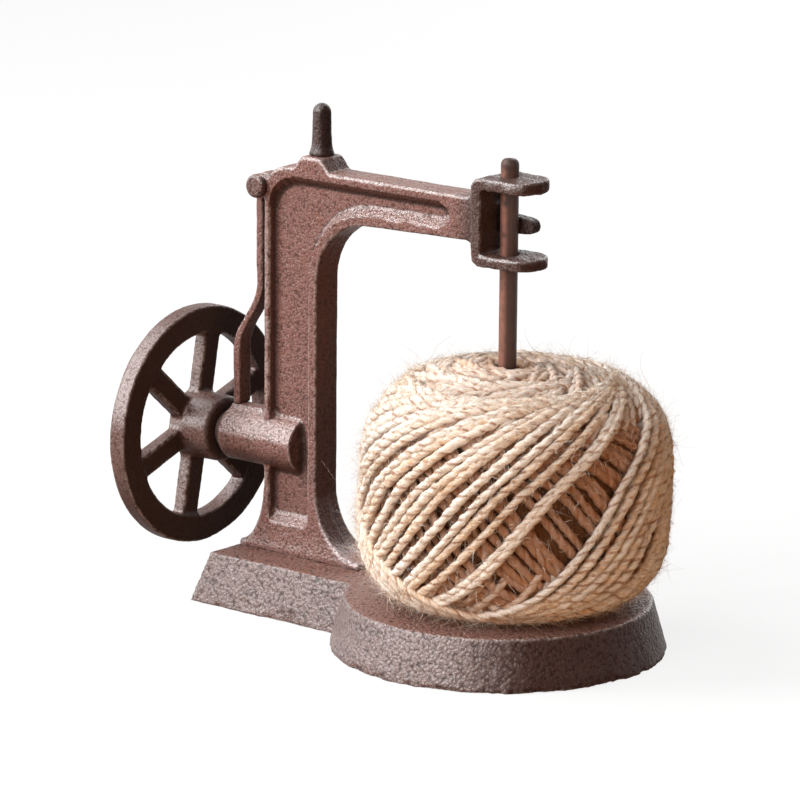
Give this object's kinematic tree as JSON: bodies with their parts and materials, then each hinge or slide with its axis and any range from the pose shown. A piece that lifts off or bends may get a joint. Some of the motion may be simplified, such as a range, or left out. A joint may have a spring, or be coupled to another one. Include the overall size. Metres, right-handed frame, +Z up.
{
  "type": "desk string holder",
  "caption": "Cast-iron desk string holder shaped like a small sewing machine, with a turning handwheel and a lift-out spindle that carries a ball of twine over a round tray",
  "frame": {"origin": "on the surface the base stands on, at the middle of the object's length and width", "axes": "+X from the handwheel to the tray, +Z up, +Y to the side that carries the twine guide"},
  "size_m": [0.1922, 0.1124, 0.173],
  "materials": {
    "cast_iron_brown": "sand-cast, rust-brown patina, dull sheen",
    "cast_iron_dark": "sand-cast, dark brown patina, dull sheen",
    "steel_brown": "browned steel rod, worn",
    "steel_dark": "darkened steel",
    "twine": "two-ply jute, fuzzy"
  },
  "bodies": {
    "stand": {"base_casting": "cast_iron_brown", "frame_casting": "cast_iron_brown", "frame_screws": "steel_dark", "frame_screw_washers": "steel_dark", "spool_peg": "cast_iron_brown", "twine_guide": "cast_iron_dark", "rear_strap": "cast_iron_brown", "strap_pin": "cast_iron_brown", "wheel_axle": "steel_dark", "axle_washer": "steel_dark", "thrust_washer": "steel_dark"},
    "wheel": {"handwheel": "cast_iron_dark"},
    "rod": {"spindle": "steel_brown"},
    "ball": {"twine_core": "twine", "twine_winding": "twine"}
  },
  "joints": [
    {"name": "handwheel_spin", "type": "hinge", "parent": "stand", "child": "wheel", "pos_m": [-0.0876, 0, 0.0545], "axis": [1, 0, 0], "continuous": true},
    {"name": "spindle_lift", "type": "slide", "parent": "stand", "child": "rod", "axis": [0, 0, 1], "range_m": [0, 0.12]},
    {"name": "ball_spin", "type": "hinge", "parent": "stand", "child": "ball", "pos_m": [0.0424, 0, 0.058], "axis": [0, 0, 1], "continuous": true}
  ]
}
